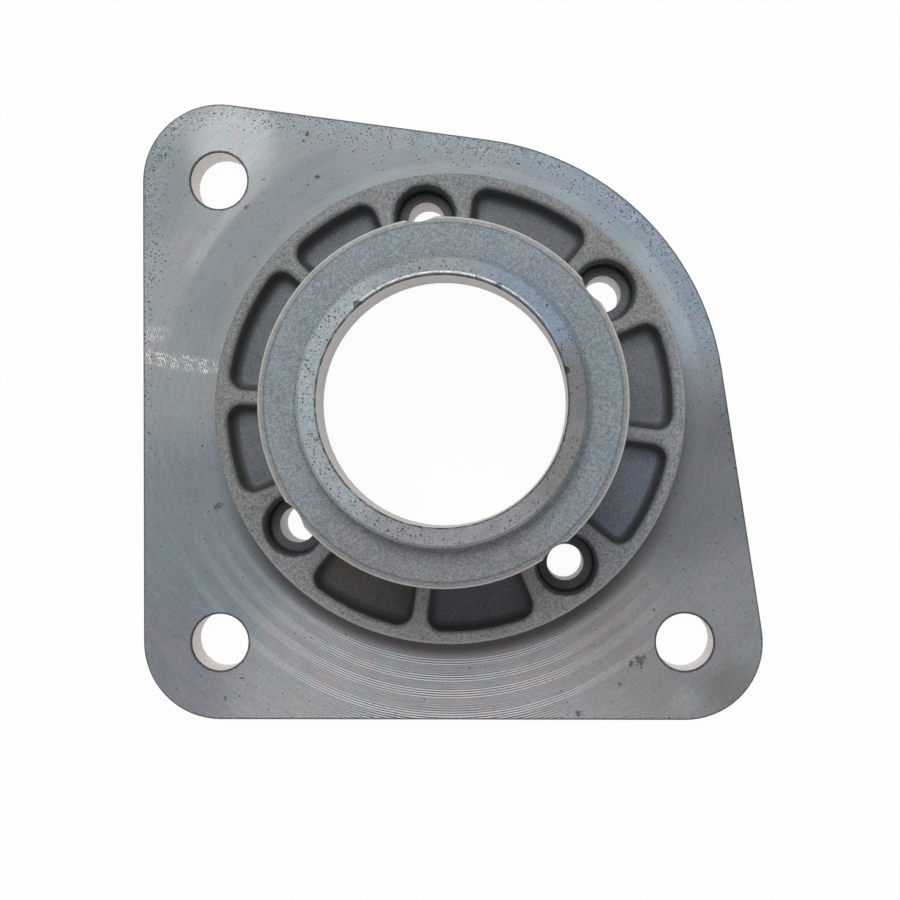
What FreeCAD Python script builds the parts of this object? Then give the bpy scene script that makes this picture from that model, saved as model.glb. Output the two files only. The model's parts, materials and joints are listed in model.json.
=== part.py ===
"""End housing of a starter: one aluminium casting with machined faces.

The bore axis is Z. The back face, which seats on the starter body, lies on Z = 0.
The flange, the pilot boss and the nose rise from it towards +Z. Millimetres.
"""
import FreeCAD, Part
import math
import os

from FreeCAD import Vector

# Flange: a disc with three bolt lugs on the corners of a square
DISC_D = 106.0
LUG_SQUARE_W = 90.0
LUG_R = 15.0
FLANGE_T = 9.0
FLANGE_EDGE = 0.4
LUG_HOLE_D = 11.0
LUG_HOLE_EDGE = 0.35

# Pilot boss, which centres the housing in the engine's bell housing
PILOT_D = 89.0
PILOT_H = 8.0
PILOT_EDGE = 0.3

# Nose, a drafted boss round the pinion's bore, with a machined lip on its face
NOSE_D = 64.0
NOSE_H = 36.5
NOSE_DRAFT = 1.0
NOSE_EDGE = 1.1
NOSE_ROOT = 1.0
LIP_D = 49.6
LIP_H = 4.0
LIP_EDGE = 0.5
LIP_ROOT = 0.8

# Bore: a straight land, then a wider cast chamber with a register at the back
BORE_D = 42.6
BORE_LAND = 12.0
BORE_EDGE = 0.35
CHAMBER_D = 54.0
CHAMBER_DRAFT = 1.0
CHAMBER_SHOULDER = 2.5
REGISTER_D = 61.0
REGISTER_DEPTH = 3.0
REGISTER_EDGE = 0.5

# Four counterbored screw holes, which hold the housing to the starter body
SCREW_CIRCLE_D = 73.5
SCREW_ANGLES = [-143.2, -53.2, 36.8, 96.8]
SCREW_HOLE_D = 7.0
SCREW_HEAD_D = 11.0
SCREW_HEAD_DEPTH = 6.3
SCREW_MOUTH_D = 11.9
SCREW_MOUTH_DEPTH = 1.5

# Cast pockets between the screw holes, with thin ribs left between them
POCKET_OUTER_D = 84.6
POCKET_DEPTH = 5.0
POCKET_LEAN_W = 0.85
POCKET_CORNER_R = 3.0
POCKET_BEVEL = 0.9
SCREW_LAND_ARC = 26.6
RIB_ANGLES = [-98.2, -8.2, 137.5, 176.6]
RIB_W = 2.5

# Chips knocked out of the bore's front rim
CHIP_ANGLES = [130.8, 63.4, 13.6]
CHIP_WIDTHS = [1.5, 1.1, 1.2]
CHIP_DEPTH = 0.8

# Heights worked out from the sizes above
PILOT_Z = FLANGE_T + PILOT_H
NOSE_Z = FLANGE_T + NOSE_H
LIP_Z = NOSE_Z + LIP_H
LAND_Z = LIP_Z - BORE_LAND
POCKET_Z = PILOT_Z - POCKET_DEPTH
SEAT_Z = PILOT_Z - SCREW_HEAD_DEPTH

# How far a cutting tool runs past a face, and how near two sizes count as the same
ABOVE = 5.0
SAME = 1e-4


def polar(radius, degrees, z=0.0):
    """A point at a radius and an angle from the bore axis."""
    angle = math.radians(degrees)
    return Vector(radius * math.cos(angle), radius * math.sin(angle), z)


def lug_centres():
    """The three lugs: upper left, lower left and lower right."""
    half = LUG_SQUARE_W / 2
    return [Vector(-half, half, 0), Vector(-half, -half, 0), Vector(half, -half, 0)]


def tangent(centre_a, radius_a, centre_b, radius_b):
    """The two ends of the line that touches both circles on their right, going from a to b."""
    along = centre_b - centre_a
    heading = math.atan2(along.y, along.x)
    lean = math.acos((radius_a - radius_b) / along.Length)
    normal = Vector(math.cos(heading - lean), math.sin(heading - lean), 0)
    return centre_a + normal * radius_a, centre_b + normal * radius_b


def flange_outline():
    """The disc and the lugs, joined by the straight lines that touch them, anticlockwise."""
    upper_left, lower_left, lower_right = lug_centres()
    disc = (Vector(0, 0, 0), DISC_D / 2)
    circles = [(upper_left, LUG_R), (lower_left, LUG_R), (lower_right, LUG_R), disc]
    touches = []
    for index, (centre, radius) in enumerate(circles):
        next_centre, next_radius = circles[(index + 1) % len(circles)]
        touches.append(tangent(centre, radius, next_centre, next_radius))
    edges = []
    for index, (centre, radius) in enumerate(circles):
        arrive = touches[index - 1][1]
        leave = touches[index][0]
        middle = (arrive + leave) * 0.5 - centre
        middle = centre + middle.normalize() * radius
        edges.append(Part.Arc(arrive, middle, leave).toShape())
        edges.append(Part.makeLine(leave, touches[index][1]))
    return Part.Wire(edges)


def level_edges(shape, z):
    """The edges that lie wholly at the height z."""
    return [
        edge
        for edge in shape.Edges
        if abs(edge.BoundBox.ZMin - z) < SAME and abs(edge.BoundBox.ZMax - z) < SAME
    ]


def circles_at(shape, radius, z):
    """The circles of this radius at the height z."""
    return [
        edge
        for edge in level_edges(shape, z)
        if isinstance(edge.Curve, Part.Circle) and abs(edge.Curve.Radius - radius) < SAME
    ]


def flange():
    """The flat plate with its front edge broken."""
    plate = Part.Face(flange_outline()).extrude(Vector(0, 0, FLANGE_T))
    return plate.makeChamfer(FLANGE_EDGE, level_edges(plate, FLANGE_T))


def pilot():
    """The round boss on the flange, still without its pockets."""
    boss = Part.makeCylinder(PILOT_D / 2, PILOT_Z)
    return boss.makeChamfer(PILOT_EDGE, level_edges(boss, PILOT_Z))


def nose_radius(z):
    """The nose's radius at a height: it widens towards its foot by its draft."""
    return NOSE_D / 2 + (NOSE_Z - z) * math.tan(math.radians(NOSE_DRAFT))


def turned(points):
    """The solid swept round the bore axis by a closed profile of (radius, height) points."""
    corners = [Vector(radius, 0, z) for radius, z in points]
    outline = Part.makePolygon(corners + corners[:1])
    return Part.Face(outline).revolve(Vector(0, 0, 0), Vector(0, 0, 1), 360)


def nose():
    """The drafted boss with the lip on top, bevelled at its edge, its foot and the lip's foot."""
    lip_r = LIP_D / 2
    foot_r = nose_radius(POCKET_Z) + NOSE_ROOT
    root_z = POCKET_Z + NOSE_ROOT
    body = turned([
        (0, 0),
        (foot_r, 0),
        (foot_r, POCKET_Z),
        (nose_radius(root_z), root_z),
        (NOSE_D / 2, NOSE_Z),
        (lip_r, NOSE_Z),
        (lip_r, LIP_Z),
        (0, LIP_Z),
    ])
    body = body.makeChamfer(NOSE_EDGE, circles_at(body, NOSE_D / 2, NOSE_Z))
    body = body.makeChamfer(LIP_ROOT, circles_at(body, lip_r, NOSE_Z))
    return body.makeChamfer(LIP_EDGE, circles_at(body, lip_r, LIP_Z))


def bore_core():
    """What is cleared along the axis: the land, the chamber behind it and the register."""
    bore_r = BORE_D / 2
    land = Part.makeCylinder(bore_r, LIP_Z + ABOVE)
    mouth = Part.makeCone(bore_r, bore_r + BORE_EDGE + ABOVE, BORE_EDGE + ABOVE)
    mouth.translate(Vector(0, 0, LIP_Z - BORE_EDGE))
    flare = LAND_Z * math.tan(math.radians(CHAMBER_DRAFT))
    chamber = Part.makeCone(CHAMBER_D / 2 + flare, CHAMBER_D / 2, LAND_Z)
    chamber = chamber.makeChamfer(CHAMBER_SHOULDER, circles_at(chamber, CHAMBER_D / 2, LAND_Z))
    register_r = REGISTER_D / 2
    register = Part.makeCylinder(register_r, REGISTER_DEPTH)
    lead_in = Part.makeCone(register_r + REGISTER_EDGE, register_r, REGISTER_EDGE)
    return land.fuse([mouth, chamber, register, lead_in])


def screw_tool(angle):
    """One screw hole with its counterbore, which runs up past the nose for the driver."""
    radius = SCREW_CIRCLE_D / 2
    hole = Part.makeCylinder(SCREW_HOLE_D / 2, PILOT_Z, polar(radius, angle))
    head_r = SCREW_HEAD_D / 2
    head = Part.makeCylinder(head_r, LIP_Z + ABOVE - SEAT_Z, polar(radius, angle, SEAT_Z))
    mouth_z = PILOT_Z - SCREW_MOUTH_DEPTH
    mouth = Part.makeCone(head_r, SCREW_MOUTH_D / 2, SCREW_MOUTH_DEPTH, polar(radius, angle, mouth_z))
    return hole.fuse([head, mouth])


def lug_hole_tool(centre):
    """One bolt hole through a lug, with its front edge broken."""
    radius = LUG_HOLE_D / 2
    hole = Part.makeCylinder(radius, FLANGE_T + ABOVE, centre - Vector(0, 0, ABOVE / 2))
    mouth = Part.makeCone(radius, radius + LUG_HOLE_EDGE + ABOVE, LUG_HOLE_EDGE + ABOVE)
    mouth.translate(centre + Vector(0, 0, FLANGE_T - LUG_HOLE_EDGE))
    return hole.fuse(mouth)


def pocket_profile(start, stop, inset):
    """A pocket's outline: an outer arc, two ends and rounded corners.

    Each end is an angle and how far the end stands off that radius, to leave half a rib. The
    outline is a sharp core grown by the corner radius, so an inset leaves the same centres.
    Its inner side runs inside the nose, which closes the pocket there.
    """
    inner_r = nose_radius(POCKET_Z) - POCKET_CORNER_R
    outer_r = POCKET_OUTER_D / 2 - POCKET_CORNER_R
    ends = []
    for (angle, standoff), side in ((start, 1), (stop, -1)):
        offset = standoff + POCKET_CORNER_R
        sideways = polar(offset, angle + 90 * side)
        reach_in = math.sqrt(inner_r ** 2 - offset ** 2)
        reach_out = math.sqrt(outer_r ** 2 - offset ** 2)
        ends.append((polar(reach_in, angle) + sideways, polar(reach_out, angle) + sideways))
    (in_a, out_a), (in_b, out_b) = ends
    middle = (start[0] + stop[0]) / 2
    core = Part.Wire([
        Part.makeLine(in_a, out_a),
        Part.Arc(out_a, polar(outer_r, middle), out_b).toShape(),
        Part.makeLine(out_b, in_b),
        Part.makeLine(in_b, in_a),
    ])
    return core.makeOffset2D(POCKET_CORNER_R - inset)


def pocket_tool(start, stop):
    """A pocket's solid, with a bevel round its floor and walls that lean out to the rim."""
    sections = []
    for rise, bevel in ((0, POCKET_BEVEL), (POCKET_BEVEL, 0), (POCKET_DEPTH + ABOVE, 0)):
        lean = POCKET_LEAN_W * (1 - rise / POCKET_DEPTH)
        section = pocket_profile(start, stop, lean + bevel)
        section.translate(Vector(0, 0, POCKET_Z + rise))
        sections.append(section)
    return Part.makeLoft(sections, True, True)


def pocket_tools():
    """The pockets that fill the ring between the screw lands and the ribs."""
    land = SCREW_LAND_ARC / 2
    walls = [(angle, land, 0.0) for angle in SCREW_ANGLES]
    walls += [(angle, 0.0, RIB_W / 2) for angle in RIB_ANGLES]
    walls.sort()
    first = walls[0]
    walls.append((first[0] + 360, first[1], first[2]))
    tools = []
    for (angle_a, arc_a, half_a), (angle_b, arc_b, half_b) in zip(walls, walls[1:]):
        tools.append(pocket_tool((angle_a + arc_a, half_a), (angle_b - arc_b, half_b)))
    return tools


def chip_tools():
    """Small cones laid on the bore's rim, point down, where it is chipped."""
    tools = []
    for angle, width in zip(CHIP_ANGLES, CHIP_WIDTHS):
        place = polar(BORE_D / 2 + BORE_EDGE, angle, LIP_Z - CHIP_DEPTH)
        slope = width / 2 / CHIP_DEPTH
        height = CHIP_DEPTH * 2
        tools.append(Part.makeCone(0, slope * height, height, place))
    return tools


def housing():
    """The whole casting."""
    plate = flange().fuse(pilot())
    plate = plate.cut(pocket_tools())
    body = plate.fuse(nose())
    tools = [bore_core()]
    tools += [screw_tool(angle) for angle in SCREW_ANGLES]
    tools += [lug_hole_tool(centre) for centre in lug_centres()]
    tools += chip_tools()
    return body.cut(tools).removeSplitter()


os.makedirs("parts", exist_ok=True)
part = housing()
part.exportStep("parts/housing.step")
print("volume cm3", round(part.Volume / 1000, 1), "solids", len(part.Solids), "valid", part.isValid())
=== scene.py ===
"""The look of a starter's end housing: one aluminium casting with turned and bored faces.

Lengths inside the finishes and the casting's sizes are millimetres, measured from the bore axis
in the plane of the back face. Objects are metres.
"""

import json
import logging
import math
from dataclasses import dataclass, field
from enum import Enum

import bmesh
import bpy
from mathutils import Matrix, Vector


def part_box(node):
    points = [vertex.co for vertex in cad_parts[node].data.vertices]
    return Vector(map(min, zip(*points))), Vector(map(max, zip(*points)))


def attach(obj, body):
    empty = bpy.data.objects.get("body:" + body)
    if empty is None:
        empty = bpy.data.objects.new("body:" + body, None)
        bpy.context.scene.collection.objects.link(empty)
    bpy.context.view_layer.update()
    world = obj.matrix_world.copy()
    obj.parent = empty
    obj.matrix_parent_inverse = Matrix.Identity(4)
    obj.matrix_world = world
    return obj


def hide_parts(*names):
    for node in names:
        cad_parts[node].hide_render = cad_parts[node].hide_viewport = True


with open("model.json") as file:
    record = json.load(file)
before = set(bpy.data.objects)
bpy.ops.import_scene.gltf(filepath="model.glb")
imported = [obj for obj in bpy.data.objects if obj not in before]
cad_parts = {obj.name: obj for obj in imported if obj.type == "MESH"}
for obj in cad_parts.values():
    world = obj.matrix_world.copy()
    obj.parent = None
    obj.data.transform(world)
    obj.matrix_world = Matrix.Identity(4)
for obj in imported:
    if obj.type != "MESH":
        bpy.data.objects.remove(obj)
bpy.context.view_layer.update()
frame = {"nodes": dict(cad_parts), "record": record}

LOG = logging.getLogger("housing")
MM = 0.001
Colour = tuple[float, float, float, float]
Place = tuple[float, float]
Span = tuple[float, float]
Sector = tuple[float, float, float]
WHITE: Colour = (1.0, 1.0, 1.0, 1.0)


def tint(red: int, green: int, blue: int) -> Colour:
    """A colour as it reads on a screen, turned into the linear values that a shader takes.

    Args:
        red: Red, from 0 to 255.
        green: Green, from 0 to 255.
        blue: Blue, from 0 to 255.

    Returns:
        The linear colour with an alpha of 1.
    """
    linear = [
        (v / 255 / 12.92) if v <= 10 else ((v / 255 + 0.055) / 1.055) ** 2.4
        for v in (red, green, blue)
    ]
    return (linear[0], linear[1], linear[2], 1.0)


class Val:
    """One output of a shader node. Arithmetic on it adds Math nodes."""

    def __init__(self, tree: "Tree", socket: bpy.types.NodeSocket | None) -> None:
        """Wraps a socket of a tree. A closing node has none."""
        self.tree = tree
        self.socket = socket

    def __add__(self, other: "Val | float") -> "Val":
        """The sum."""
        return self.tree.math("ADD", self, other)

    def __radd__(self, other: float) -> "Val":
        """The sum, with a number first."""
        return self.tree.math("ADD", other, self)

    def __sub__(self, other: "Val | float") -> "Val":
        """The difference."""
        return self.tree.math("SUBTRACT", self, other)

    def __rsub__(self, other: float) -> "Val":
        """The difference, with a number first."""
        return self.tree.math("SUBTRACT", other, self)

    def __mul__(self, other: "Val | float") -> "Val":
        """The product."""
        return self.tree.math("MULTIPLY", self, other)

    def __rmul__(self, other: float) -> "Val":
        """The product, with a number first."""
        return self.tree.math("MULTIPLY", other, self)

    def __truediv__(self, other: "Val | float") -> "Val":
        """The quotient."""
        return self.tree.math("DIVIDE", self, other)

    def __rtruediv__(self, other: float) -> "Val":
        """The quotient, with a number first."""
        return self.tree.math("DIVIDE", other, self)

    def __abs__(self) -> "Val":
        """The size of the value without its sign."""
        return self.tree.math("ABSOLUTE", self)

    def sin(self) -> "Val":
        """The sine of the value in radians."""
        return self.tree.math("SINE", self)

    def highest(self, other: "Val | float") -> "Val":
        """The larger of the two."""
        return self.tree.math("MAXIMUM", self, other)

    def lowest(self, other: "Val | float") -> "Val":
        """The smaller of the two."""
        return self.tree.math("MINIMUM", self, other)

    def smooth(self, low: float, high: float) -> "Val":
        """A soft step.

        Args:
            low: Where the step begins, at 0.
            high: Where it ends, at 1. It may be under low, which turns the step round.

        Returns:
            A value from 0 to 1.
        """
        if low > high:
            return 1 - self.smooth(high, low)
        settings = {"interpolation_type": "SMOOTHSTEP"}
        ends = {"Value": self, "From Min": low, "From Max": high}
        return self.tree.node("ShaderNodeMapRange", settings, ends)

    def band(self, middle: float, half: float, fade: float) -> "Val":
        """1 within half of the middle, falling to 0 over the fade."""
        return abs(self - middle).smooth(half + fade, half)


Paint = Val | Colour
Amount = Val | float


class Tree:
    """The nodes of a material or of the sky."""

    COLOUR_MIX = {"data_type": "RGBA", "blend_type": "MIX", "clamp_factor": True}
    MIX_FACTOR, MIX_A, MIX_B, MIX_RESULT = 0, 6, 7, 2

    def __init__(self, owner: bpy.types.Material | bpy.types.World) -> None:
        """Starts with no nodes.

        Args:
            owner: The material or the sky that the nodes belong to.
        """
        owner.use_nodes = True
        self.nodes = owner.node_tree.nodes
        self.links = owner.node_tree.links
        self.nodes.clear()

    def node(
        self,
        kind: str,
        settings: dict[str, object] | None = None,
        inputs: dict[int | str, object] | None = None,
        output: int | str = 0,
    ) -> Val:
        """Adds any node.

        Args:
            kind: The node's type.
            settings: Its properties, set first.
            inputs: Values or links for its sockets, by name or number.
            output: The socket that is wanted, by name or number.

        Returns:
            The wanted output, or an empty one after a closing node.
        """
        node = self.nodes.new(kind)
        for name, value in (settings or {}).items():
            setattr(node, name, value)
        for key, value in (inputs or {}).items():
            if isinstance(value, Val):
                self.links.new(value.socket, node.inputs[key])
            else:
                node.inputs[key].default_value = value
        return Val(self, node.outputs[output] if len(node.outputs) else None)

    def math(self, operation: str, *values: Amount) -> Val:
        """A Math node of that operation on the values."""
        return self.node("ShaderNodeMath", {"operation": operation}, dict(enumerate(values)))

    def vector(self, operation: str, first: Paint, more: dict[int | str, object]) -> Val:
        """A Vector Math node of that operation on a vector or colour and more inputs."""
        start = first if isinstance(first, Val) else first[:3]
        return self.node("ShaderNodeVectorMath", {"operation": operation}, {0: start, **more})

    def mix(self, factor: Amount, first: Paint, second: Paint) -> Val:
        """The first colour where the factor is 0, the second where it is 1."""
        inputs = {self.MIX_FACTOR: factor, self.MIX_A: first, self.MIX_B: second}
        return self.node("ShaderNodeMix", self.COLOUR_MIX, inputs, self.MIX_RESULT)


class Shader(Tree):
    """A material under construction, with the part's own coordinates in millimetres."""

    def __init__(self, name: str) -> None:
        """Starts an empty material.

        Args:
            name: The material's name.
        """
        self.material = bpy.data.materials.new(name)
        super().__init__(self.material)
        place = self.node("ShaderNodeTexCoord", output="Object")
        self.place = self.vector("SCALE", place, {"Scale": 1 / MM})
        self.x, self.y, self.z = (
            self.node("ShaderNodeSeparateXYZ", inputs={0: self.place}, output=axis)
            for axis in "XYZ"
        )
        self.r = self.math("SQRT", self.x * self.x + self.y * self.y)

    def shade(self, colour: Paint, factor: Amount) -> Val:
        """The colour, made brighter or darker by the factor."""
        return self.vector("SCALE", colour, {"Scale": factor})

    def mottle(self, colour: Paint, size: float, depth: float, seed: float = 0.0) -> Val:
        """Lets a colour drift a little between warm and cool.

        Args:
            colour: The colour.
            size: About how large the patches are.
            depth: How far each channel drifts.
            seed: A shift that gives other patches.

        Returns:
            The mottled colour.
        """
        warm = (1 + depth, 1 - depth * 0.4, 1 - depth * 0.2, 1.0)
        cool = (1 - depth, 1 + depth * 0.4, 1 + depth * 0.3, 1.0)
        drift = self.mix(self.noise(size, 2, seed + 20) * 1.5 + 0.5, warm, cool)
        return self.vector("MULTIPLY", colour, {1: drift})

    def facing(self, degrees: float) -> Val:
        """The cosine of the angle round the bore between a point and this direction."""
        angle = math.radians(degrees)
        return (self.x * math.cos(angle) + self.y * math.sin(angle)) / self.r

    def sector(self, middle: float, full: float, end: float) -> Val:
        """1 within full degrees of the middle direction, 0 beyond end degrees."""
        return self.facing(middle).smooth(math.cos(math.radians(end)), math.cos(math.radians(full)))

    def polar(self, stretch: float) -> Val:
        """Coordinates that draw a texture out along circles round the bore.

        Args:
            stretch: How many times longer than wide its grains are.

        Returns:
            The radius, the length of arc shortened by the stretch, and the height.
        """
        angle = self.math("ARCTAN2", self.y, self.x)
        arc = angle * (50 / stretch)
        return self.node("ShaderNodeCombineXYZ", inputs={0: self.r, 1: arc, 2: self.z})

    def reach(self, x: float, y: float) -> Val:
        """The distance from a line that stands upright at x, y."""
        across, along = self.x - x, self.y - y
        return self.math("SQRT", across * across + along * along)

    def nearest(self, places: tuple[Place, ...]) -> Val:
        """The distance from the nearest of some upright lines.

        Args:
            places: Where the lines stand.

        Returns:
            The distance.
        """
        near = self.reach(*places[0])
        for place in places[1:]:
            near = near.lowest(self.reach(*place))
        return near

    def noise(
        self, size: float, detail: float = 2.0, seed: float = 0.0, rough: float = 0.55
    ) -> Val:
        """Soft noise round 0.

        Args:
            size: About how large its patches are.
            detail: How many finer layers it has.
            seed: A shift that gives another pattern.
            rough: How strong the finer layers are.

        Returns:
            A value mostly within 0.5 of 0, on both sides.
        """
        moved = self.vector("ADD", self.place, {1: (seed, seed * 1.7, seed * 2.3)})
        inputs = {"Vector": moved, "Scale": 1 / size, "Detail": detail, "Roughness": rough}
        return (self.node("ShaderNodeTexNoise", inputs=inputs) - 0.5) * 1.6

    def speckle(self, size: float, seed: float = 0.0) -> Val:
        """Specks that each have their own random value.

        Args:
            size: About how large a speck is.
            seed: A shift that gives another scatter.

        Returns:
            A value within 0.5 of 0, on both sides.
        """
        moved = self.vector("ADD", self.place, {1: (seed, seed * 1.1, seed * 0.9)})
        inputs = {"Vector": moved, "Scale": 1 / size, "Randomness": 1.0}
        cell = self.node("ShaderNodeTexVoronoi", None, inputs, "Color")
        return self.node("ShaderNodeSeparateColor", None, {0: cell}, "Red") - 0.5

    def pits(self, spacing: float, size: float, share: Amount, seed: float = 0.0) -> Val:
        """Small round pits, scattered at random.

        Args:
            spacing: About how far apart they could be.
            size: Their largest radius.
            share: How many of the places hold one, from 0 to 1. It may vary over the surface.
            seed: A shift that gives another scatter.

        Returns:
            1 in a pit and 0 elsewhere.
        """
        moved = self.vector("ADD", self.place, {1: (seed, seed * 1.3, seed * 0.7)})
        inputs = {"Vector": moved, "Scale": 1 / spacing, "Randomness": 1.0}
        away = self.node("ShaderNodeTexVoronoi", None, inputs, "Distance") * spacing
        cell = self.node("ShaderNodeTexVoronoi", None, inputs, "Color")
        chance = self.node("ShaderNodeSeparateColor", None, {0: cell}, "Red")
        wide = self.node("ShaderNodeSeparateColor", None, {0: cell}, "Green")
        ragged = away + self.noise(size * 0.9, 1, seed) * size * 0.9
        hole = (ragged / (wide * size + size * 0.4)).smooth(1.0, 0.6)
        return hole * self.math("LESS_THAN", chance, share)

    def bump(self, height: Val, depth: float) -> Val:
        """The normal of a height map, where 1 stands out by the depth in millimetres."""
        inputs = {"Strength": 1.0, "Distance": depth * MM, "Height": height}
        return self.node("ShaderNodeBump", None, inputs)

    def finish(
        self, colour: Val, roughness: Amount, metallic: float, normal: Val
    ) -> bpy.types.Material:
        """Closes the material.

        Args:
            colour: Its base colour.
            roughness: Its roughness.
            metallic: How far it shines as bare metal does.
            normal: The normal of its bumps.

        Returns:
            The material.
        """
        inputs = {"Base Color": colour, "Roughness": roughness, "Metallic": metallic}
        surface = self.node("ShaderNodeBsdfPrincipled", None, {**inputs, "Normal": normal})
        self.node("ShaderNodeOutputMaterial", None, {"Surface": surface})
        return self.material


@dataclass(frozen=True)
class Overlay:
    """Another colour, laid over a part of a face."""

    colour: Colour
    strength: float = field(default=1.0, kw_only=True)

    def mask(self, s: Shader) -> Val:
        """Where it lies, from 0 to 1."""
        raise NotImplementedError

    def over(self, s: Shader, under: Paint) -> Val:
        """The colour below, with this one laid over it."""
        return s.mix(self.mask(s) * self.strength, under, self.colour)


@dataclass(frozen=True)
class SectorTone(Overlay):
    """A tone in one direction from the bore, whole up to one angle and gone at the next."""

    middle: float
    full: float
    end: float

    def mask(self, s: Shader) -> Val:
        """Where it lies, from 0 to 1."""
        return s.sector(self.middle, self.full, self.end)


@dataclass(frozen=True)
class Ring(SectorTone):
    """A tone that is only a band round the bore."""

    radius: float
    half: float
    fade: float

    def mask(self, s: Shader) -> Val:
        """Where it lies, from 0 to 1."""
        return s.r.band(self.radius, self.half, self.fade) * super().mask(s)


@dataclass(frozen=True)
class Patch(Overlay):
    """A round patch, whole up to one radius and gone at the next."""

    x: float
    y: float
    full: float
    end: float

    def mask(self, s: Shader) -> Val:
        """Where it lies, from 0 to 1."""
        return s.reach(self.x, self.y).smooth(self.end, self.full)


@dataclass(frozen=True)
class Scratches(Overlay):
    """Two short rows of fine scratches that start at the left edge."""

    colour: Colour = tint(244, 245, 238)
    pitch: float = 0.42
    across: Place = (0.94, 0.34)
    clump_pitch: float = 2.75
    clump_x: float = -59.1
    row_x: float = -59.0
    row_y: float = 10.7
    row_fall: float = 0.17
    row_width: Span = (1.0, 0.9)
    row_end: Span = (-44.6, -46.5)
    upper_y: float = 15.0
    upper_width: Span = (0.9, 1.1)
    upper_end: Span = (-53.0, -58.0)
    upper_strength: float = 0.6

    def mask(self, s: Shader) -> Val:
        """Where they lie.

        Args:
            s: The material.

        Returns:
            1 on a scratch and 0 elsewhere.
        """
        x, y = self.across
        fine = ((s.x * x + s.y * y) * (2 * math.pi / self.pitch)).sin()
        fine = (fine + s.noise(0.4, 2, 8.0) * 4).smooth(0.0, 1.4)
        clump = ((s.x - self.clump_x) * (2 * math.pi / self.clump_pitch) + math.pi / 2).sin()
        clump = (clump + s.noise(1.4, 1, 9.0) * 3).smooth(-1.6, 0.8)
        row = s.y - self.row_y + (s.x - self.row_x) * self.row_fall
        row = row.band(0, *self.row_width) * s.x.smooth(*self.row_end)
        upper = (s.y - self.upper_y).band(0, *self.upper_width) * s.x.smooth(*self.upper_end)
        return fine * (row * clump).highest(upper * self.upper_strength)


@dataclass(frozen=True)
class Outline:
    """The flange's outline: a disc, and lugs at three corners of a square, joined by tangents."""

    lugs: tuple[Place, ...]
    lug_r: float
    disc_r: float = 53.0
    open_corner: float = 45.0
    beside: float = 1000.0

    def arc(self, s: Shader, centre: Place, radius: float, start: float, end: float) -> Val:
        """How far a point lies inside one round stretch.

        Args:
            s: The material.
            centre: The arc's centre.
            radius: The arc's radius.
            start: The direction of its first end, in degrees.
            end: The direction of its other end.

        Returns:
            The distance, or far more beside the arc.
        """
        x, y = centre
        middle = math.radians((start + end) / 2)
        half = math.radians((end - start) / 2)
        away = s.reach(x, y)
        ahead = (s.x - x) * math.cos(middle) + (s.y - y) * math.sin(middle)
        return s.math("LESS_THAN", ahead, away * math.cos(half)) * self.beside + radius - away

    def depth(self, s: Shader) -> Val:
        """How far a point lies inside the whole outline.

        Args:
            s: The material.

        Returns:
            The distance in millimetres.
        """
        at = max(abs(x) for x, _ in self.lugs)
        half = 90 - math.degrees(math.acos((self.disc_r - self.lug_r) / math.hypot(at, at)))
        ends = (self.open_corner - half, self.open_corner + half)
        gap = (s.x + at + self.lug_r).lowest(s.y + at + self.lug_r)
        for degrees in ends:
            angle = math.radians(degrees)
            gap = gap.lowest(self.disc_r - (s.x * math.cos(angle) + s.y * math.sin(angle)))
        gap = gap.lowest(self.arc(s, (0.0, 0.0), self.disc_r, *ends))
        turns = (ends[1], 180.0, 270.0, ends[0] + 360)
        for lug, start, end in zip(self.lugs, turns, turns[1:]):
            gap = gap.lowest(self.arc(s, lug, self.lug_r, start, end))
        return gap


@dataclass(frozen=True)
class Lathe:
    """The grooves that turning left, which catch the light below the bore."""

    pitch: float = 0.46
    bands: tuple[Span, ...] = ((48.7, 0.45), (51.9, 0.6), (55.0, 0.75), (59.4, 0.6))
    band_fade: float = 0.3
    lower: Sector = (-94, 20, 52)
    sharpest: Sector = (-92, 12, 36)
    shining: Sector = (-96, 40, 66)
    upper_left: Sector = (132, 16, 40)
    foot: Sector = (-90, 8, 24)
    foot_heights: Span = (-56.5, -59.5)

    def cut(self, s: Shader) -> tuple[Val, Val]:
        """Turns the face.

        Args:
            s: The material.

        Returns:
            The grooves' height, and how far they and the bands between them lighten the face.
        """
        wander = s.noise(14, 2, 3.1) * 0.05
        groove = ((s.r + wander) * (2 * math.pi / self.pitch)).sin()
        below = s.sector(*self.lower) * (0.8 + s.noise(7, 2, 14.0))
        radius = s.r + s.noise(25, 1, 15.0) * 0.6
        rings = sum((radius.band(*band, self.band_fade) for band in self.bands), start=0.0)
        foot = s.y.smooth(*self.foot_heights) * s.sector(*self.foot)
        sharp = (rings * s.sector(*self.sharpest) * 0.75).highest(foot * 0.9)
        fine = below * 0.12 + s.sector(*self.upper_left) * 0.06 + 0.025
        light = groove * (sharp + fine) + rings * s.sector(*self.shining) * 0.2
        return groove * (sharp + below * 0.3 + 0.12), light


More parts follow.
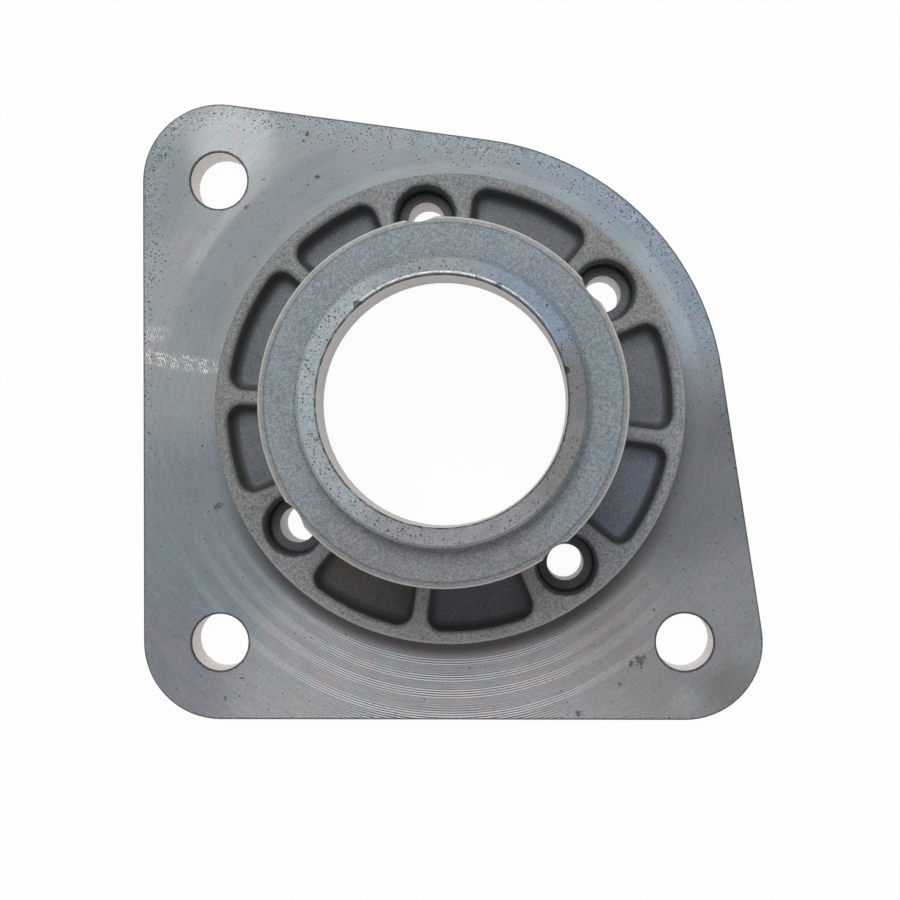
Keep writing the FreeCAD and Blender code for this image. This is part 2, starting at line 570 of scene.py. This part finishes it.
@dataclass(frozen=True)
class TurnedFace:
    """The flange's front, turned on a lathe, with porous metal near its upper edge, painted sheen
    and shade.
    """

    outline: Outline
    hole_r: float
    lathe: Lathe = Lathe()
    scratches: Scratches = Scratches(strength=0.9)
    colour: Colour = tint(133, 140, 145)
    # Tones round the face: partly the metal's own tint, partly painted light falloff and sheen on
    # the turned face.
    tones_and_painted_light: tuple[Overlay, ...] = (
        SectorTone(tint(144, 149, 150), 148, 10, 45),
        SectorTone(tint(135, 143, 148), 88, 16, 45),
        SectorTone(tint(130, 144, 156), 40, 10, 42),
        SectorTone(tint(110, 115, 120), -24, 12, 40),
        SectorTone(tint(140, 139, 140), -60, 10, 30),
        SectorTone(tint(163, 163, 166), -96, 16, 44),
        SectorTone(tint(120, 130, 137), -155, 6, 26),
        Patch(tint(126, 135, 139), -62, 44, 9, 15),
        Patch(tint(182, 187, 189), -42, 52, 4, 11, strength=0.75),
        Patch(tint(128, 128, 138), -58, -52, 9, 20, strength=0.8),
        Patch(tint(134, 136, 140), 58, -44, 12, 24),
        Patch(tint(112, 115, 108), 54, -54, 2, 8, strength=0.7),
        Patch(tint(160, 160, 158), 44.4, -56.5, 0.5, 4.5, strength=0.5),
        Patch(tint(96, 98, 106), 54.5, -4, 0.5, 9, strength=0.6),
        Ring(tint(112, 124, 134), 140, 16, 34, 52, 3.2, 3.0, strength=0.5),
        # Painted highlight: a bright streak on the face along the pilot's edge, up and to the
        # right.
        Ring(tint(168, 178, 184), 27, 8, 20, 47.2, 1.1, 1.4, strength=0.5),
        Ring(tint(160, 167, 170), 82, 26, 46, 46.6, 0.8, 1.4, strength=0.4),
        Ring(tint(170, 174, 176), 140, 8, 14, 57.6, 0.7, 0.8, strength=0.45),
    )
    pit_colour: Colour = tint(52, 56, 62)
    edge_lighting_colour: Colour = tint(58, 57, 60)
    edge_shade_width: Span = (0.45, 0.12)
    shadow_colour: Colour = tint(73, 64, 66)
    shadow_radii: Span = (49.2, 46.2)
    shadow: Sector = (-94, 34, 72)
    upper: Sector = (84, 56, 82)
    upper_width: Span = (7.0, 0.4)
    side_width: Span = (3.4, 0.2)
    side_heights: Span = (-25, 5)
    rim_width: Span = (1.2, 0.1)
    knocks: tuple[tuple[float, float, float], ...] = (
        (-45.3, -18.5, 0.9),
        (36.4, -48.5, 1.3),
        (34.6, -48.9, 0.8),
        (32.6, -53.2, 0.5),
        (39.2, -38.8, 0.35),
        (24.8, -58.8, 0.8),
        (-43.9, -55.9, 0.45),
        (-40.7, -52.0, 0.4),
        (-27.7, 53.9, 0.5),
        (-25.8, 45.6, 0.5),
        (-39.6, 39.8, 0.5),
    )

    def porosity(self, s: Shader, gap: Val) -> Val:
        """How porous the metal is, most of all along the upper edge.

        Args:
            s: The material.
            gap: The distance from the outline.

        Returns:
            A value from 0 to about 1.4.
        """
        upper = gap.smooth(*self.upper_width) * s.sector(*self.upper)
        side = gap.smooth(*self.side_width) * 0.7 * s.y.smooth(*self.side_heights)
        porous = upper.highest(side).highest(gap.smooth(*self.rim_width) * 0.35)
        return porous * (0.75 + s.noise(4, 2, 12.0) * 1.3)

    def pitted(self, s: Shader, porous: Val) -> Val:
        """The pores and the knocks.

        Args:
            s: The material.
            porous: How porous the metal is.

        Returns:
            1 in a pore and 0 elsewhere.
        """
        pit = s.pits(0.80, 0.19, 0.012 + porous * 0.34, 2.0)
        pit = pit.highest(s.pits(0.40, 0.13, 0.02 + porous * 0.9, 4.0)) * 0.85
        for x, y, size in self.knocks:
            near = s.reach(x, y) + s.noise(0.5, 2, 16.0) * size * 2.2
            pit = pit.highest(near.smooth(size, size * 0.3) * 0.7)
        return pit

    def make(self) -> bpy.types.Material:
        """Builds the material.

        Returns:
            The material.
        """
        s = Shader("turned_face")
        colour: Paint = self.colour
        for layer in self.tones_and_painted_light:
            colour = layer.over(s, colour)
        colour = s.mottle(colour, 5, 0.06)
        coarse = s.noise(0.45, 2, 5.0)
        rough = s.noise(0.32, 3, 17.0, 0.75)
        texture = {"Vector": s.polar(9.0), "Scale": 2.2, "Detail": 2.0, "Roughness": 0.6}
        brushed = s.node("ShaderNodeTexNoise", None, texture)
        gap = self.outline.depth(s)
        groove, light = self.lathe.cut(s)
        porous = self.porosity(s, gap)
        light = light + 1 + s.noise(9, 3, 1.0) * 0.12 + (brushed - 0.5) * 0.35
        light = light + coarse * 0.3 + porous * (rough * 1.9 + 0.12)
        shadow = s.r.smooth(*self.shadow_radii) * s.sector(*self.shadow)
        colour = s.mix(shadow * 0.8, s.shade(colour, light), self.shadow_colour)
        pit = self.pitted(s, porous)
        colour = s.mix(pit, self.scratches.over(s, colour), self.pit_colour)
        # Painted shade: a dark line on the broken edge along the outline and round the lug holes.
        gap = gap.lowest(s.nearest(self.outline.lugs) - (self.hole_r + 0.1))
        edge = (gap + coarse * 0.3).smooth(*self.edge_shade_width)
        colour = s.mix(edge * 0.8, colour, self.edge_lighting_colour)
        normal = s.bump(groove + coarse * 0.4 - pit * 4, 0.012)
        return s.finish(colour, 0.52 + coarse * 0.12 + pit * 0.3, 0.2, normal)


@dataclass(frozen=True)
class CastSkin:
    """A grey surface with the grain of the mould."""

    name: str
    colour: Colour
    sector_tones: tuple[SectorTone, ...] = ()
    grain: float = 0.9
    grain_size: float = 0.25
    cloud: float = 0.07
    roughness: float = 0.62
    metallic: float = 0.15
    relief: float = 0.03

    def coloured(self, s: Shader) -> tuple[Val, Val]:
        """The skin's colour before anything that a face adds.

        Args:
            s: The material.

        Returns:
            The colour, and the grain that its bump follows.
        """
        colour: Paint = self.colour
        for tone in self.sector_tones:
            colour = tone.over(s, colour)
        grain = s.speckle(self.grain_size, 4.0) * 0.75 + s.noise(self.grain_size * 2, 2, 4.0) * 0.35
        light = 1 + grain * self.grain + s.noise(6, 3, 7.0) * (2 * self.cloud)
        return s.shade(s.mottle(colour, 4, 0.05), light), grain

    def make(self) -> bpy.types.Material:
        """Builds the material.

        Returns:
            The material.
        """
        s = Shader(self.name)
        colour, grain = self.coloured(s)
        return s.finish(colour, self.roughness, self.metallic, s.bump(grain, self.relief))


@dataclass(frozen=True)
class PilotSkin(CastSkin):
    """The pilot's face and ribs, with ragged mouths round the counterbores, painted pocket shade
    and edge highlight.
    """

    screws: tuple[Place, ...] = ()
    mouth_r: float = 5.95
    mouth_colour: Colour = tint(66, 66, 64)
    wall_shade_colour: Colour = tint(84, 86, 84)
    edge_lighting_colour: Colour = tint(172, 168, 166)
    top: float = 17.0
    pilot_r: float = 44.5
    edge_w: float = 0.3
    lower: Sector = (-90, 40, 75)
    right: Sector = (28, 16, 40)

    def make(self) -> bpy.types.Material:
        """Builds the material.

        Returns:
            The material.
        """
        s = Shader(self.name)
        colour, grain = self.coloured(s)
        ragged = s.noise(1.3, 3, 9.0)
        near = s.nearest(self.screws) + ragged * 0.55
        mouth = near.smooth(self.mouth_r + 0.25, self.mouth_r - 0.1)
        colour = s.mix(mouth * 0.8, colour, self.mouth_colour)
        pit = s.pits(0.9, 0.22, 0.35, 6.0)
        colour = s.mix(pit * 0.55, colour, self.mouth_colour)
        # Painted highlight: a pale line along the pilot's edge on its lower and right sides.
        turned = s.sector(*self.lower).highest(s.sector(*self.right))
        edge_r = self.pilot_r - self.edge_w
        edge = (s.r + ragged * 0.2).band(edge_r, 0.06, 0.22) * turned
        colour = s.mix(edge * 0.6, colour, self.edge_lighting_colour)
        # Painted shade: the pocket walls darken with depth below the pilot's face.
        recess_shade = (s.z + ragged * 0.5).smooth(self.top - 0.15, self.top - 1.4)
        recess_shade = recess_shade * s.r.smooth(edge_r - 0.8, edge_r - 1.6)
        colour = s.mix(recess_shade, colour, self.wall_shade_colour)
        return s.finish(colour, self.roughness, self.metallic, s.bump(grain - pit, self.relief))


@dataclass(frozen=True)
class FloorSkin(CastSkin):
    """A pocket's floor, with the walls' painted shade where it turns up into them."""

    floor_z: float = 12.0
    wall_shade_colour: Colour = tint(84, 86, 85)

    def make(self) -> bpy.types.Material:
        """Builds the material.

        Returns:
            The material.
        """
        s = Shader(self.name)
        colour, grain = self.coloured(s)
        # Painted shade where the floor turns up into the walls.
        turned_up = (s.z + grain * 0.1).smooth(self.floor_z + 0.02, self.floor_z + 0.6)
        colour = s.mix(turned_up, colour, self.wall_shade_colour)
        return s.finish(colour, self.roughness, self.metallic, s.bump(grain, self.relief))


@dataclass(frozen=True)
class SeatSkin(CastSkin):
    """A counterbore: a dark wall, and a paler seat with a black painted shadow ring at its foot."""

    screws: tuple[Place, ...] = ()
    seat_z: float = 10.7
    foot_r: float = 4.9
    seat_colour: Colour = tint(100, 105, 108)
    foot_shadow_colour: Colour = tint(26, 26, 27)

    def make(self) -> bpy.types.Material:
        """Builds the material.

        Returns:
            The material.
        """
        s = Shader(self.name)
        colour, grain = self.coloured(s)
        near = s.nearest(self.screws)
        seat = s.z.smooth(self.seat_z + 0.4, self.seat_z + 0.1)
        # Painted shadow: a black ring where the seat meets the wall.
        foot = (near + grain * 0.3).smooth(self.foot_r, self.foot_r + 0.4)
        foot = foot * s.z.smooth(self.seat_z + 1.6, self.seat_z + 0.3)
        colour = s.mix(seat, colour, s.shade(self.seat_colour, 1 + grain * 0.6))
        colour = s.mix(foot * 0.85, colour, self.foot_shadow_colour)
        return s.finish(colour, self.roughness, self.metallic, s.bump(grain, self.relief))


@dataclass(frozen=True)
class NoseSkin(CastSkin):
    """The nose's face, with a paler bevel and a thin dark line inside it: painted highlight and
    shade.
    """

    nose_r: float = 32.0
    bevel_w: float = 1.1
    rim_lighting_colour: Colour = tint(158, 156, 155)
    shade_line_colour: Colour = tint(84, 82, 82)
    outer_highlight_colour: Colour = tint(208, 203, 200)

    def make(self) -> bpy.types.Material:
        """Builds the material.

        Returns:
            The material.
        """
        s = Shader(self.name)
        colour, grain = self.coloured(s)
        waver = s.noise(3.0, 2, 11.0) * 0.25
        rim_r = self.nose_r - self.bevel_w
        # Painted light on the rounded rim: a paler, warmer highlight band, a brighter outer edge
        # and a dark shade line inside them.
        rim = (s.r + waver * 0.4).smooth(rim_r - 0.05, rim_r + 0.25)
        line = (s.r + waver).band(rim_r - 0.15, 0.05, 0.25)
        outer = (s.r + waver * 0.5).smooth(rim_r + 0.55, rim_r + 0.95)
        colour = s.mix(rim * 0.8, colour, s.shade(self.rim_lighting_colour, 1 + grain * 0.7))
        colour = s.mix(outer * 0.8, colour, self.outer_highlight_colour)
        colour = s.mix(line * (0.45 + waver), colour, self.shade_line_colour)
        return s.finish(colour, self.roughness, self.metallic, s.bump(grain, self.relief))


@dataclass(frozen=True)
class LipFace:
    """The lip's machined face, full of small pores, with chips at the bore's edge, and painted
    shade and a highlight along it.
    """

    bore_r: float
    colour: Colour = tint(150, 160, 164)
    # Tones round the lip: painted reflections of the surroundings in the machined face.
    sector_tones: tuple[SectorTone, ...] = (
        SectorTone(tint(133, 139, 143), 90, 12, 40),
        SectorTone(tint(119, 134, 149), 45, 12, 36),
        SectorTone(tint(108, 108, 113), 4, 8, 26),
        SectorTone(tint(118, 120, 119), -32, 14, 34),
        SectorTone(tint(142, 143, 147), -85, 24, 50),
    )
    pore_and_chip_shade_colour: Colour = tint(50, 56, 66)
    rim_lighting_colour: Colour = tint(64, 62, 62)
    highlight_colour: Colour = tint(250, 248, 246)
    chips: tuple[Span, ...] = ((130.8, 1.0), (63.4, 0.8), (13.6, 0.75))
    porous_side: Sector = (175, 60, 110)
    highlight_side: Sector = (86, 18, 60)

    def make(self) -> bpy.types.Material:
        """Builds the material.

        Returns:
            The material.
        """
        s = Shader("lip_face")
        colour: Paint = self.colour
        for tone in self.sector_tones:
            colour = tone.over(s, colour)
        grain = s.noise(0.4, 2, 2.0)
        colour = s.mottle(colour, 3, 0.05)
        colour = s.shade(colour, 1 + grain * 0.55 + s.noise(2.5, 2, 5.0) * 0.22)
        some = (0.3 + s.sector(*self.porous_side) * 0.6) * (1 + s.noise(3, 2, 10.0) * 1.4)
        pores = s.pits(0.80, 0.18, some * 0.6, 3.0).highest(s.pits(0.42, 0.12, some * 0.8, 8.0))
        # Painted shade in the chips at the bore's edge, laid on with the pores.
        for degrees, size in self.chips:
            angle = math.radians(degrees)
            away = s.reach(self.bore_r * math.cos(angle), self.bore_r * math.sin(angle))
            pores = pores.highest((away + grain * 0.5).smooth(size, size * 0.7))
        colour = s.mix(pores * 0.8, colour, self.pore_and_chip_shade_colour)
        waver = s.noise(1.2, 2, 6.0) * 0.5
        # Painted highlight: a pale line near the bore's edge on its upper side.
        bright = (s.r + waver * 0.3).band(self.bore_r + 0.6, 0.06, 0.12)
        bright = bright * s.sector(*self.highlight_side) * (0.6 + waver * 2)
        colour = s.mix(bright, colour, self.highlight_colour)
        # Painted shade: a broken dark line on the bore's chamfer.
        broken = s.noise(1.6, 2, 13.0).smooth(-0.28, 0.05)
        dark = (s.r + waver * 0.6).smooth(self.bore_r + 0.26, self.bore_r + 0.12) * broken
        colour = s.mix(dark * 0.85, colour, self.rim_lighting_colour)
        normal = s.bump(grain * 0.5 - pores * 2, 0.03)
        return s.finish(colour, 0.5 + pores * 0.3, 0.3, normal)


@dataclass(frozen=True)
class BoredWall:
    """A bored wall, bright and slightly warm, with fine rings round its axis; its brightness is
    partly painted light.
    """

    name: str
    colour: Colour
    ring_pitch: float = 0.3

    def make(self) -> bpy.types.Material:
        """Builds the material.

        Returns:
            The material.
        """
        s = Shader(self.name)
        grain = s.noise(0.6, 2, 1.0)
        rings = (s.z * (2 * math.pi / self.ring_pitch)).sin()
        colour = s.shade(self.colour, 0.97 + grain * 0.05 + rings * 0.02)
        normal = s.bump(rings * 0.5 + grain * 0.5, 0.006)
        return s.finish(colour, 0.5, 0.2, normal)


class Zone(Enum):
    """The kinds of surface that the casting has."""

    FLANGE = "flange"
    OUTSIDE = "outside"
    PILOT = "pilot"
    POCKET_FLOOR = "pocket_floor"
    POCKET_WALL = "pocket_wall"
    COUNTERBORE = "counterbore"
    HOLE = "hole"
    NOSE = "nose"
    NOSE_SIDE = "nose_side"
    LIP = "lip"
    LIP_SIDE = "lip_side"
    BORE = "bore"
    CHAMBER = "chamber"
    BACK = "back"


@dataclass
class Casting:
    """The housing: its sizes, its mesh with broken edges, and its finishes."""

    node: str = "housing"
    pilot_h: float = 8.0
    pocket_depth: float = 5.0
    seat_depth: float = 6.3
    lip_h: float = 4.0
    lug_r: float = 15.0
    nose_r: float = 32.0
    nose_foot: float = 1.3
    head_r: float = 6.0
    land: float = 12.0
    foot_round: float = 0.42
    rim_round: float = 0.8
    nose_round: float = 0.25
    foot_rise: float = 1.1
    rim_depth: float = 1.05
    round_steps: int = 4
    round_degrees: float = 20.0
    sharp_degrees: float = 32.0
    flat_degrees: float = 0.3
    weld: float = 0.002
    level: float = 0.5
    edge: float = 0.5
    slack: float = 0.1
    mounts: dict[str, dict] = field(init=False)
    flange_z: float = field(init=False)
    pilot_z: float = field(init=False)
    pocket_z: float = field(init=False)
    seat_z: float = field(init=False)
    nose_z: float = field(init=False)
    top_z: float = field(init=False)
    pilot_r: float = field(init=False)
    bore_r: float = field(init=False)
    register_r: float = field(init=False)
    lug_hole_r: float = field(init=False)
    screw_hole_r: float = field(init=False)
    lugs: tuple[Place, ...] = field(init=False)
    screws: tuple[Place, ...] = field(init=False)

    def __post_init__(self) -> None:
        """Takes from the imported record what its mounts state, and works out the heights."""
        self.mounts = {mount["name"]: mount for mount in frame["record"]["mounts"]}
        self.flange_z = self.height_of("front_face")
        self.pilot_z = self.flange_z + self.pilot_h
        self.pocket_z = self.pilot_z - self.pocket_depth
        self.seat_z = self.pilot_z - self.seat_depth
        self.top_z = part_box(self.node)[1].z / MM
        self.nose_z = self.top_z - self.lip_h
        self.pilot_r = self.radius_of("pilot")
        self.bore_r = self.radius_of("bore")
        self.register_r = self.radius_of("register")
        self.lugs = self.places_of("lug_hole")
        self.lug_hole_r = self.radius_of("lug_hole_upper_left")
        self.screws = self.places_of("screw_hole")
        self.screw_hole_r = self.radius_of("screw_hole_top")

    def height_of(self, mount: str) -> float:
        """How high a mount lies."""
        return self.mounts[mount]["pos_m"][2] / MM

    def radius_of(self, mount: str) -> float:
        """A mount's radius."""
        return self.mounts[mount]["dims"]["r_mm"]

    def places_of(self, start: str) -> tuple[Place, ...]:
        """Where the mounts stand whose names begin with the given word.

        Args:
            start: The word.

        Returns:
            The places, anticlockwise from the right.
        """
        found = [m["pos_m"] for name, m in self.mounts.items() if name.startswith(start)]
        places = [(x / MM, y / MM) for x, y, _ in found]
        return tuple(sorted(places, key=lambda place: math.atan2(place[1], place[0]) % math.tau))

    def zone_of(self, centre: Vector, normal: Vector) -> Zone:
        """The kind of surface that a face belongs to.

        Args:
            centre: The face's middle, in millimetres.
            normal: Its normal.

        Returns:
            The zone.
        """
        place = (centre.x, centre.y)
        r = math.hypot(*place)
        z = centre.z
        if normal.z < -self.level:
            return Zone.BACK if z < self.flange_z else Zone.CHAMBER
        if normal.z > self.level:
            return self.level_zone(r, z)
        if r < self.register_r + 1 and normal.dot(centre) < normal.z * z:
            return Zone.BORE if z > self.top_z - self.land else Zone.CHAMBER
        screw = min(math.dist(place, hole) for hole in self.screws)
        lug = min(math.dist(place, hole) for hole in self.lugs)
        if screw < self.screw_hole_r + self.slack or lug < self.lug_hole_r + self.slack:
            return Zone.HOLE
        if screw < self.head_r and z < self.pilot_z - self.rim_depth:
            return Zone.COUNTERBORE
        if z < self.flange_z:
            return Zone.OUTSIDE
        if r > self.pilot_r - self.edge:
            return Zone.PILOT
        if z > self.nose_z + self.slack:
            return Zone.LIP_SIDE
        beside_nose = z > self.pilot_z or r < self.nose_r + self.nose_foot
        return Zone.NOSE_SIDE if beside_nose else Zone.POCKET_WALL

    def level_zone(self, r: float, z: float) -> Zone:
        """The kind of surface of a face that looks up.

        Args:
            r: How far the face is from the bore's axis.
            z: How high it lies.

        Returns:
            The zone.
        """
        if z > self.nose_z + 1:
            return Zone.LIP
        if z > self.nose_z - 2:
            return Zone.NOSE
        if z > self.pilot_z - self.rim_depth - 0.4:
            return Zone.PILOT
        if z > self.pocket_z - self.slack and r < self.pilot_r:
            return Zone.POCKET_FLOOR
        return Zone.COUNTERBORE if z > self.seat_z - 0.3 else Zone.FLANGE

    def rounded_heights(self) -> tuple[tuple[float, float, float], ...]:
        """Where the part is rounded and the solid is not.

        Returns:
            The lowest and highest place and the offset of each round: the pockets' feet, the rims
            at the pilot's face, and the nose's outer edges.
        """
        return (
            (self.pocket_z - self.slack, self.pocket_z + self.foot_rise, self.foot_round),
            (self.pilot_z - self.slack, self.pilot_z + self.slack, self.rim_round),
            (self.pilot_z + self.slack, self.nose_z + self.slack, self.nose_round),
        )

    def is_rounded(self, edge: bmesh.types.BMEdge, low: float, high: float) -> bool:
        """Whether an edge in a range of heights is sharp here but rounded on the part.

        Args:
            edge: An edge of the casting.
            low: The lowest place for it.
            high: The highest place for it.

        Returns:
            True for an edge to be rounded.
        """
        if len(edge.link_faces) != 2:
            return False
        if edge.calc_face_angle() < math.radians(self.round_degrees):
            return False
        places = [vert.co / MM for vert in edge.verts]
        heights = [p.z for p in places]
        reaches = [math.hypot(p.x, p.y) for p in places]
        if min(heights) < low or max(heights) > high or max(reaches) > self.pilot_r - self.edge:
            return False
        if low < self.pocket_z:
            return min(reaches) > self.nose_r + 2
        return edge.is_convex and min(reaches) > self.nose_r - 6

    def soften(self, shape: bmesh.types.BMesh) -> None:
        """Rounds the cast edges, from the pockets' feet up to the nose.

        Args:
            shape: The casting's mesh.
        """
        for low, high, offset in self.rounded_heights():
            bmesh.ops.bevel(
                shape,
                geom=[edge for edge in shape.edges if self.is_rounded(edge, low, high)],
                offset=offset * MM,
                segments=self.round_steps,
                profile=0.5,
                affect="EDGES",
                clamp_overlap=False,
            )
        shape.normal_update()

    def sort_faces(self, shape: bmesh.types.BMesh) -> None:
        """Gives each face its zone, and shades it smooth up to the sharp edges.

        Args:
            shape: The casting's mesh.
        """
        zones = list(Zone)
        for face in shape.faces:
            zone = self.zone_of(face.calc_center_median() / MM, face.normal)
            face.material_index = zones.index(zone)
            face.smooth = True
        for edge in shape.edges:
            joined = len(edge.link_faces) == 2
            edge.smooth = joined and edge.calc_face_angle() < math.radians(self.sharp_degrees)

    def build(self) -> bpy.types.Object:
        """Makes the piece from the housing's solid, with its cast edges rounded.

        Returns:
            The piece.
        """
        mesh = frame["nodes"][self.node].data.copy()
        mesh.name = "casting"
        mesh.materials.clear()
        shape = bmesh.new()
        shape.from_mesh(mesh)
        bmesh.ops.remove_doubles(shape, verts=shape.verts, dist=self.weld * MM)
        flat = math.radians(self.flat_degrees)
        bmesh.ops.dissolve_limit(shape, angle_limit=flat, verts=shape.verts, edges=shape.edges)
        self.soften(shape)
        self.sort_faces(shape)
        shape.to_mesh(mesh)
        shape.free()
        piece = bpy.data.objects.new("casting", mesh)
        bpy.context.scene.collection.objects.link(piece)
        weighted = piece.modifiers.new("weighted_normals", "WEIGHTED_NORMAL")
        weighted.keep_sharp = True
        return piece

    def finishes(self) -> dict[Zone, bpy.types.Material]:
        """One material for each zone.

        Returns:
            The materials by zone.
        """
        cast = CastSkin("cast_skin", tint(118, 121, 124))
        back = CastSkin("turned_back", tint(140, 144, 146), grain=0.1, roughness=0.45, metallic=0.4)
        chamber = CastSkin("chamber_skin", tint(128, 128, 126), grain=0.3)
        pilot = PilotSkin(
            "pilot_skin",
            tint(129, 130, 129),
            grain=0.9,
            sector_tones=(
                SectorTone(tint(132, 136, 141), -15, 15, 50),
                SectorTone(tint(146, 146, 148), -95, 25, 60),
                SectorTone(tint(129, 133, 134), 100, 20, 60),
            ),
            screws=self.screws,
            top=self.pilot_z,
            pilot_r=self.pilot_r,
        ).make()
        nose = NoseSkin(
            "nose_skin",
            tint(132, 143, 149),
            sector_tones=(
                SectorTone(tint(129, 140, 148), -20, 30, 70),
                SectorTone(tint(129, 131, 136), -95, 20, 60),
            ),
            grain=0.75,
            nose_r=self.nose_r,
        )
        floor = FloorSkin(
            "pocket_floor",
            tint(106, 112, 118),
            floor_z=self.pocket_z,
            sector_tones=(
                SectorTone(tint(118, 126, 140), -32, 14, 30),
                SectorTone(tint(98, 96, 90), -115, 12, 24),
                SectorTone(tint(101, 101, 109), -78, 8, 20),
            ),
            grain=0.6,
            cloud=0.14,
        )
        seat = SeatSkin("counterbore", tint(70, 72, 74), screws=self.screws, seat_z=self.seat_z)
        # Pale partly as bright metal and partly as painted light from the white floor below.
        bored = BoredWall("bored_wall", tint(240, 234, 231)).make()
        made = cast.make()
        return {
            Zone.FLANGE: TurnedFace(Outline(self.lugs, self.lug_r), self.lug_hole_r).make(),
            Zone.OUTSIDE: made,
            Zone.PILOT: pilot,
            Zone.POCKET_FLOOR: floor.make(),
            Zone.POCKET_WALL: pilot,
            Zone.COUNTERBORE: seat.make(),
            Zone.HOLE: bored,
            Zone.NOSE: nose.make(),
            Zone.NOSE_SIDE: made,
            Zone.LIP: LipFace(self.bore_r).make(),
            Zone.LIP_SIDE: CastSkin("lip_side", tint(112, 114, 114), grain=0.3).make(),
            Zone.BORE: bored,
            Zone.CHAMBER: chamber.make(),
            Zone.BACK: back.make(),
        }

    def dress(self, piece: bpy.types.Object) -> None:
        """Gives each zone its finish and ties the piece to the frame.

        Args:
            piece: The casting.
        """
        finishes = self.finishes()
        for zone in Zone:
            piece.data.materials.append(finishes[zone])
        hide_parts(self.node)
        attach(piece, "root")


@dataclass
class Studio:
    """The floor, the light and the camera."""

    camera_at: tuple[float, float, float] = (0.0110499, -0.0108907, 0.314279)
    camera_turn: tuple[float, float, float] = (0.5736, 2.0894, -0.2357)
    lens: float = 63.056
    sensor: float = 36.0
    key_at: tuple[float, float, float] = (-0.07, 0.49, 0.98)
    key_size: float = 0.70
    key_power: float = 6.6
    sky: float = 0.46
    floor_gap: float = 0.0002
    floor_half: float = 3.0
    floor_white: float = 0.96
    floor_colour: Colour = (0.8, 0.8, 0.8, 1.0)

    def rays(self, shader: Shader) -> Val:
        """What the camera sees straight, mirrored or through glass.

        Args:
            shader: The material.

        Returns:
            1 for such a ray and 0 for any other.
        """
        kinds = ("Is Camera Ray", "Is Glossy Ray", "Is Transmission Ray")
        straight, mirrored, through = (
            shader.node("ShaderNodeLightPath", output=kind) for kind in kinds
        )
        return straight.highest(mirrored).highest(through)

    def floor(self) -> None:
        """A plain white floor just under the part, which keeps its shadow."""
        mesh = bpy.data.meshes.new("floor")
        half = self.floor_half
        corners = [(-half, -half, 0), (half, -half, 0), (half, half, 0), (-half, half, 0)]
        mesh.from_pydata(corners, [], [(0, 1, 2, 3)])
        plane = bpy.data.objects.new("floor", mesh)
        plane.location.z = -self.floor_gap
        bpy.context.scene.collection.objects.link(plane)
        shader = Shader("floor")
        matt = shader.node("ShaderNodeBsdfDiffuse", None, {"Color": self.floor_colour})
        white = shader.node("ShaderNodeEmission", None, {"Color": WHITE, "Strength": 1.0})
        seen = self.rays(shader) * self.floor_white
        both = shader.node("ShaderNodeMixShader", None, {0: seen, 1: matt, 2: white})
        shader.node("ShaderNodeOutputMaterial", None, {"Surface": both})
        mesh.materials.append(shader.material)

    def light(self) -> None:
        """A soft lamp above the part's upper side, and an even sky."""
        lamp = bpy.data.lights.new("key", "AREA")
        lamp.shape = "DISK"
        lamp.size = self.key_size
        lamp.energy = self.key_power
        key = bpy.data.objects.new("key", lamp)
        key.location = self.key_at
        key.rotation_euler = (-Vector(self.key_at)).to_track_quat("-Z", "Y").to_euler()
        bpy.context.scene.collection.objects.link(key)
        world = bpy.data.worlds.new("sky")
        bpy.context.scene.world = world
        sky = Tree(world)
        even = sky.node("ShaderNodeBackground", None, {"Color": WHITE, "Strength": self.sky})
        white = sky.node("ShaderNodeBackground", None, {"Color": WHITE, "Strength": 1.0})
        straight = sky.node("ShaderNodeLightPath", output="Is Camera Ray")
        both = sky.node("ShaderNodeMixShader", None, {0: straight, 1: even, 2: white})
        sky.node("ShaderNodeOutputWorld", None, {"Surface": both})

    def camera(self) -> None:
        """The camera, above the part and looking down its bore."""
        data = bpy.data.cameras.new("camera")
        data.sensor_width = self.sensor
        data.lens = self.lens
        data.clip_start = 0.01
        camera = bpy.data.objects.new("camera", data)
        camera.location = self.camera_at
        camera.rotation_euler = [math.radians(angle) for angle in self.camera_turn]
        bpy.context.scene.collection.objects.link(camera)
        bpy.context.scene.camera = camera
        bpy.context.scene.view_settings.view_transform = "Standard"


def main() -> None:
    """Builds the casting and the studio, and reports each piece."""
    logging.basicConfig(level=logging.INFO, format="%(message)s")
    casting = Casting()
    piece = casting.build()
    casting.dress(piece)
    LOG.info("%s: %d faces, %d finishes", piece.name, len(piece.data.polygons), len(Zone))
    studio = Studio()
    studio.floor()
    studio.light()
    studio.camera()
    LOG.info("studio: floor, key lamp, sky and camera")


if __name__ == "__main__":
    main()
